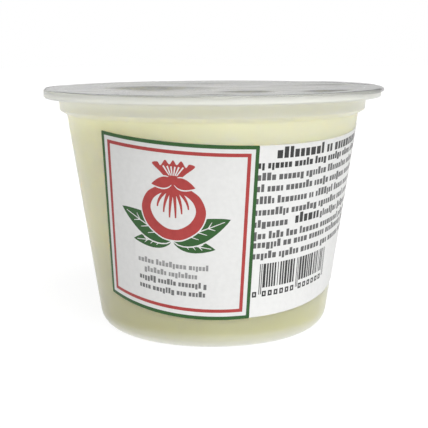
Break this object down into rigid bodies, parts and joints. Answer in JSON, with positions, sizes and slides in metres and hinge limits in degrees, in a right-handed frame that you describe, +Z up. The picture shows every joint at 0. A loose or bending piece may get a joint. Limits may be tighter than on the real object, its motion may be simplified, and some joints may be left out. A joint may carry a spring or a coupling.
{
  "type": "sealed burrata tub",
  "caption": "Sealed round tub of burrata: tapered translucent plastic cup full of cloudy liquid, clear film sealed on a wide rim, and white paper labels on the wall.",
  "frame": {"origin": "centre of the base, on the surface the tub stands on", "axes": "+Z up along the tub's axis, the front label's side faces -Y, +X to the right seen from the front"},
  "size_m": [0.1014, 0.1014, 0.0716],
  "materials": {
    "tub_plastic": "milky translucent moulded plastic, satin",
    "cloudy_liquid": "cloudy pale yellow-green whey",
    "clear_film": "clear glossy lidding film",
    "label_paper": "coated white label paper"
  },
  "bodies": {
    "root": {"tub": "tub_plastic", "liquid": "cloudy_liquid", "film": "clear_film", "label_front": "label_paper", "label_info": "label_paper"}
  },
  "joints": []
}
